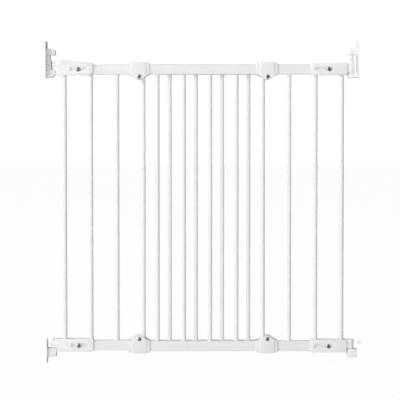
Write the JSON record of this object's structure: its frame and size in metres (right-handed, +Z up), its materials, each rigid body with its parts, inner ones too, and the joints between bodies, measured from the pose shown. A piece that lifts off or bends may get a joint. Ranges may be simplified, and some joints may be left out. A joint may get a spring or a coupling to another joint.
{
  "type": "safety baby gate",
  "caption": "Extending wall-mounted baby gate: telescoping barred frames held by clamps, slotted end fittings, pin hinges that let it lift and swing, and a thumb-slide latch.",
  "frame": {"origin": "at the bottom of the lower wall plates (floor level), midway between the two wall faces and midway through the depth", "axes": "+X from the latch wall to the hinge wall, +Y from the front to the back (the way the gate opens), +Z up"},
  "size_m": [0.764, 0.061, 0.791],
  "materials": {
    "white_enamel": "satin powder coat",
    "sleeve_plastic": "moulded satin",
    "clamp_plastic": "moulded satin",
    "bracket_plastic": "moulded satin",
    "bright_screws": "bright plated",
    "zinc_steel": "zinc plated"
  },
  "bodies": {
    "hinge_brackets": {"hinge_top_bracket": "bracket_plastic", "hinge_bottom_bracket": "bracket_plastic"},
    "hinge_pins": {"hinge_top_pin": "bracket_plastic", "hinge_bottom_pin": "zinc_steel"},
    "hinge_ends": {"hinge_top_end": "sleeve_plastic", "hinge_bottom_end": "sleeve_plastic"},
    "front_frame": {"front_top_rail": "white_enamel", "front_bottom_rail": "white_enamel", "front_bars": "white_enamel", "front_rail_plugs": "sleeve_plastic", "left_top_clamp": "clamp_plastic", "left_bottom_clamp": "clamp_plastic", "left_clamp_screws": "bright_screws", "left_clamp_nuts": "zinc_steel", "hinge_slot_screws": "bright_screws", "hinge_slot_nuts": "zinc_steel"},
    "rear_frame": {"rear_top_rail": "white_enamel", "rear_bottom_rail": "white_enamel", "rear_bars": "white_enamel", "rear_rail_plugs": "sleeve_plastic", "right_top_clamp": "clamp_plastic", "right_bottom_clamp": "clamp_plastic", "right_clamp_screws": "bright_screws", "right_clamp_nuts": "zinc_steel", "latch_slot_screws": "bright_screws", "latch_slot_nuts": "zinc_steel"},
    "latch_ends": {"latch_top_end": "sleeve_plastic", "latch_bottom_end": "sleeve_plastic"},
    "latch": {"latch_bolt": "zinc_steel", "thumb_slider": "sleeve_plastic"},
    "latch_brackets": {"latch_top_bracket": "bracket_plastic", "latch_bottom_bracket": "bracket_plastic"}
  },
  "joints": [
    {"name": "gate_swing", "type": "hinge", "parent": "hinge_brackets", "child": "hinge_pins", "pos_m": [0.3646, -0.0075, 0], "axis": [0, 0, -1], "range_deg": [0, 85]},
    {"name": "gate_lift", "type": "slide", "parent": "hinge_pins", "child": "hinge_ends", "axis": [0, 0, 1], "range_m": [0, 0.012]},
    {"name": "frame_shift", "type": "slide", "parent": "hinge_ends", "child": "front_frame", "axis": [-1, 0, 0], "range_m": [-0.003, 0.012]},
    {"name": "width_slide", "type": "slide", "parent": "front_frame", "child": "rear_frame", "axis": [-1, 0, 0], "range_m": [-0.072, 0.23]},
    {"name": "latch_end_shift", "type": "slide", "parent": "rear_frame", "child": "latch_ends", "axis": [-1, 0, 0], "range_m": [-0.012, 0.003]},
    {"name": "latch_slide", "type": "slide", "parent": "latch_ends", "child": "latch", "axis": [-1, 0, 0], "range_m": [0, 0.005]},
    {"name": "latch_wall_set", "type": "slide", "parent": "hinge_brackets", "child": "latch_brackets", "axis": [-1, 0, 0], "range_m": [-0.072, 0.23]}
  ],
  "couplings": [
    {"joint": "latch_end_shift", "follows": "frame_shift", "ratio": -1},
    {"joint": "latch_wall_set", "follows": "width_slide", "ratio": 1}
  ]
}
